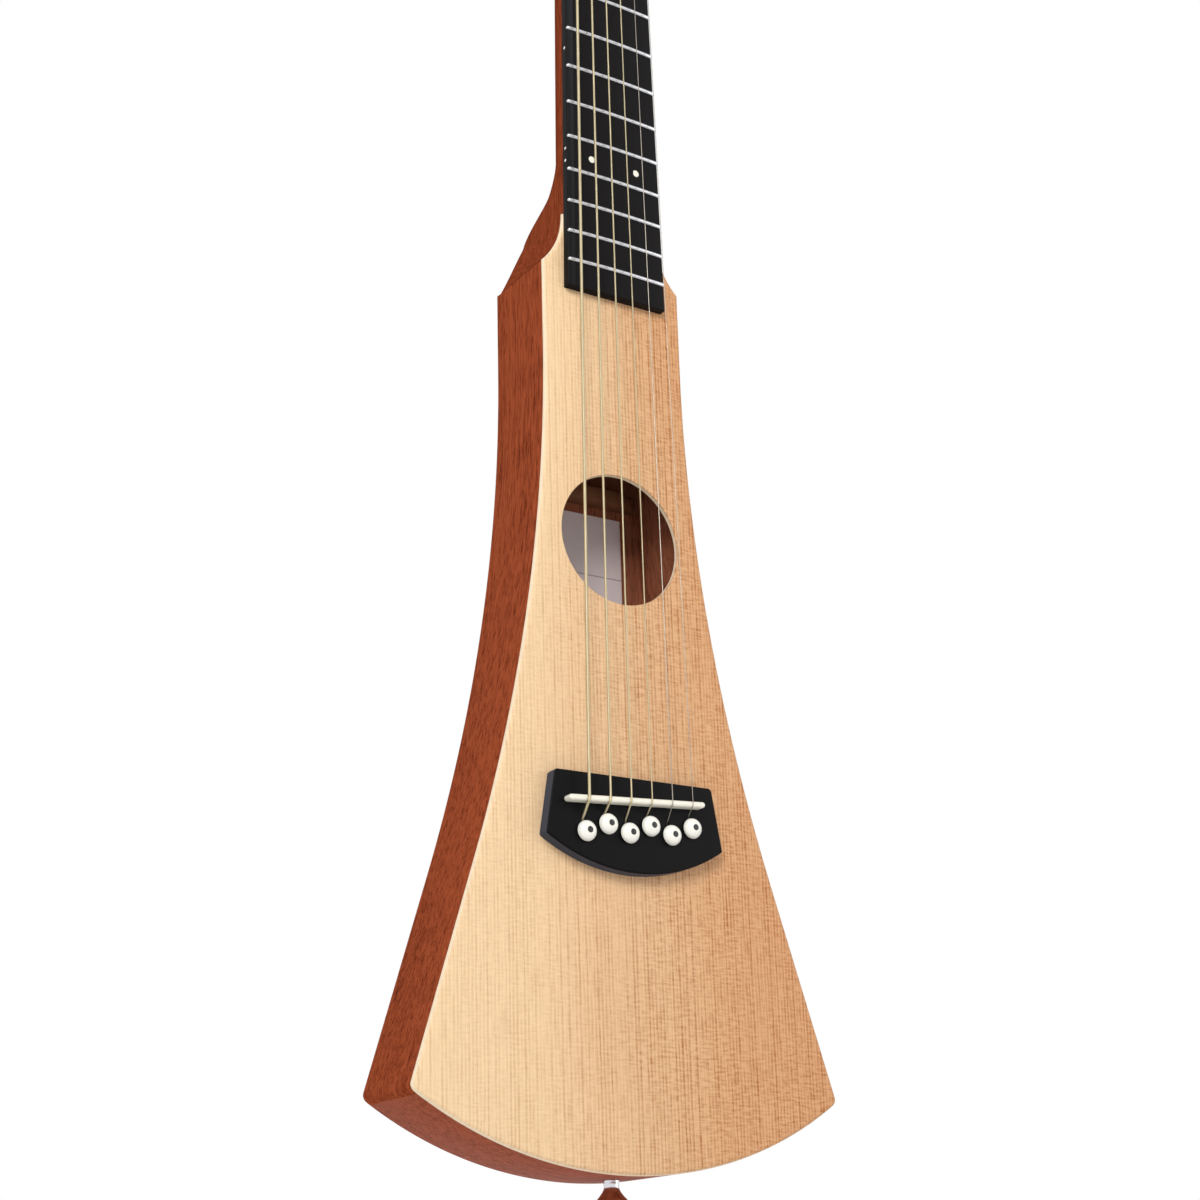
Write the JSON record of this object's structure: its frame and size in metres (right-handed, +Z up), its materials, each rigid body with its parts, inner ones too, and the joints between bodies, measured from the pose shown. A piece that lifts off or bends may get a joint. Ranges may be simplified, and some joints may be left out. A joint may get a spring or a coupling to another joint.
{
  "type": "travel guitar",
  "caption": "Slim bell-bodied acoustic travel guitar with a round sound hole, fretted neck, pin bridge and geared tuners, held by a strap and played by hand.",
  "frame": {"origin": "on the centre line where the strings leave the nut, in the plane of the soundboard's outer face", "axes": "+Z up the neck towards the head, +Y from the face towards the back, +X towards the treble side"},
  "size_m": [0.209, 0.0692, 0.8825],
  "materials": {
    "spruce": "satin",
    "mahogany": "satin",
    "inner_wood": "matte",
    "black_board": "satin",
    "black_bridge": "satin",
    "bone": "satin",
    "pin_plastic": "gloss",
    "paper": "matte",
    "fret_metal": "polished",
    "wound_string": "satin",
    "plain_string": "polished",
    "chrome": "polished",
    "machine_steel": "satin"
  },
  "bodies": {
    "root": {"soundboard": "spruce", "back_panel": "mahogany", "left_side": "mahogany", "right_side": "mahogany", "tail_rim": "mahogany", "tail_block": "inner_wood", "upper_brace": "inner_wood", "middle_brace": "inner_wood", "lower_brace": "inner_wood", "back_brace": "inner_wood", "bridge_plate": "inner_wood", "label": "paper", "neck": "mahogany", "fingerboard": "black_board", "nut": "bone", "fret_1": "fret_metal", "fret_2": "fret_metal", "fret_3": "fret_metal", "fret_4": "fret_metal", "fret_5": "fret_metal", "fret_6": "fret_metal", "fret_7": "fret_metal", "fret_8": "fret_metal", "fret_9": "fret_metal", "fret_10": "fret_metal", "fret_11": "fret_metal", "fret_12": "fret_metal", "fret_13": "fret_metal", "fret_14": "fret_metal", "fret_15": "fret_metal", "bridge": "black_bridge", "saddle": "bone", "end_pin": "chrome", "heel_strap_button": "chrome", "tuner_plate_bass": "machine_steel", "tuner_plate_treble": "machine_steel", "string_1": "plain_string", "string_2": "plain_string", "string_3": "wound_string", "string_4": "wound_string", "string_5": "wound_string", "string_6": "wound_string"},
    "knob_1": {"tuner_knob_1": "chrome"},
    "knob_2": {"tuner_knob_2": "chrome"},
    "knob_3": {"tuner_knob_3": "chrome"},
    "knob_4": {"tuner_knob_4": "chrome"},
    "knob_5": {"tuner_knob_5": "chrome"},
    "knob_6": {"tuner_knob_6": "chrome"},
    "post_1": {"tuner_post_1": "chrome"},
    "post_2": {"tuner_post_2": "chrome"},
    "post_3": {"tuner_post_3": "chrome"},
    "post_4": {"tuner_post_4": "chrome"},
    "post_5": {"tuner_post_5": "chrome"},
    "post_6": {"tuner_post_6": "chrome"},
    "pin_1": {"bridge_pin_1": "pin_plastic"},
    "pin_2": {"bridge_pin_2": "pin_plastic"},
    "pin_3": {"bridge_pin_3": "pin_plastic"},
    "pin_4": {"bridge_pin_4": "pin_plastic"},
    "pin_5": {"bridge_pin_5": "pin_plastic"},
    "pin_6": {"bridge_pin_6": "pin_plastic"}
  },
  "joints": [
    {"name": "knob_turn_1", "type": "hinge", "parent": "root", "child": "knob_1", "pos_m": [0.021, 0.02152, 0.01821], "axis": [1, 0, 0], "continuous": true},
    {"name": "knob_turn_2", "type": "hinge", "parent": "root", "child": "knob_2", "pos_m": [0.021, 0.02755, 0.04658], "axis": [1, 0, 0], "continuous": true},
    {"name": "knob_turn_3", "type": "hinge", "parent": "root", "child": "knob_3", "pos_m": [0.021, 0.03358, 0.07495], "axis": [1, 0, 0], "continuous": true},
    {"name": "knob_turn_4", "type": "hinge", "parent": "root", "child": "knob_4", "pos_m": [-0.021, 0.03358, 0.07495], "axis": [1, 0, 0], "continuous": true},
    {"name": "knob_turn_5", "type": "hinge", "parent": "root", "child": "knob_5", "pos_m": [-0.021, 0.02755, 0.04658], "axis": [1, 0, 0], "continuous": true},
    {"name": "knob_turn_6", "type": "hinge", "parent": "root", "child": "knob_6", "pos_m": [-0.021, 0.02152, 0.01821], "axis": [1, 0, 0], "continuous": true},
    {"name": "post_turn_1", "type": "hinge", "parent": "root", "child": "post_1", "pos_m": [0.021, 0.0052, 0.02945], "axis": [0, 0.9781, -0.2079], "continuous": true},
    {"name": "post_turn_2", "type": "hinge", "parent": "root", "child": "post_2", "pos_m": [0.021, 0.01123, 0.05782], "axis": [0, 0.9781, -0.2079], "continuous": true},
    {"name": "post_turn_3", "type": "hinge", "parent": "root", "child": "post_3", "pos_m": [0.021, 0.01726, 0.08619], "axis": [0, 0.9781, -0.2079], "continuous": true},
    {"name": "post_turn_4", "type": "hinge", "parent": "root", "child": "post_4", "pos_m": [-0.021, 0.01726, 0.08619], "axis": [0, 0.9781, -0.2079], "continuous": true},
    {"name": "post_turn_5", "type": "hinge", "parent": "root", "child": "post_5", "pos_m": [-0.021, 0.01123, 0.05782], "axis": [0, 0.9781, -0.2079], "continuous": true},
    {"name": "post_turn_6", "type": "hinge", "parent": "root", "child": "post_6", "pos_m": [-0.021, 0.0052, 0.02945], "axis": [0, 0.9781, -0.2079], "continuous": true},
    {"name": "pin_pull_1", "type": "slide", "parent": "root", "child": "pin_1", "axis": [0, -1, 0], "range_m": [0, 0.022]},
    {"name": "pin_pull_2", "type": "slide", "parent": "root", "child": "pin_2", "axis": [0, -1, 0], "range_m": [0, 0.022]},
    {"name": "pin_pull_3", "type": "slide", "parent": "root", "child": "pin_3", "axis": [0, -1, 0], "range_m": [0, 0.022]},
    {"name": "pin_pull_4", "type": "slide", "parent": "root", "child": "pin_4", "axis": [0, -1, 0], "range_m": [0, 0.022]},
    {"name": "pin_pull_5", "type": "slide", "parent": "root", "child": "pin_5", "axis": [0, -1, 0], "range_m": [0, 0.022]},
    {"name": "pin_pull_6", "type": "slide", "parent": "root", "child": "pin_6", "axis": [0, -1, 0], "range_m": [0, 0.022]}
  ],
  "couplings": [
    {"joint": "post_turn_1", "follows": "knob_turn_1", "ratio": -0.071429},
    {"joint": "post_turn_2", "follows": "knob_turn_2", "ratio": -0.071429},
    {"joint": "post_turn_3", "follows": "knob_turn_3", "ratio": -0.071429},
    {"joint": "post_turn_4", "follows": "knob_turn_4", "ratio": -0.071429},
    {"joint": "post_turn_5", "follows": "knob_turn_5", "ratio": -0.071429},
    {"joint": "post_turn_6", "follows": "knob_turn_6", "ratio": -0.071429}
  ]
}
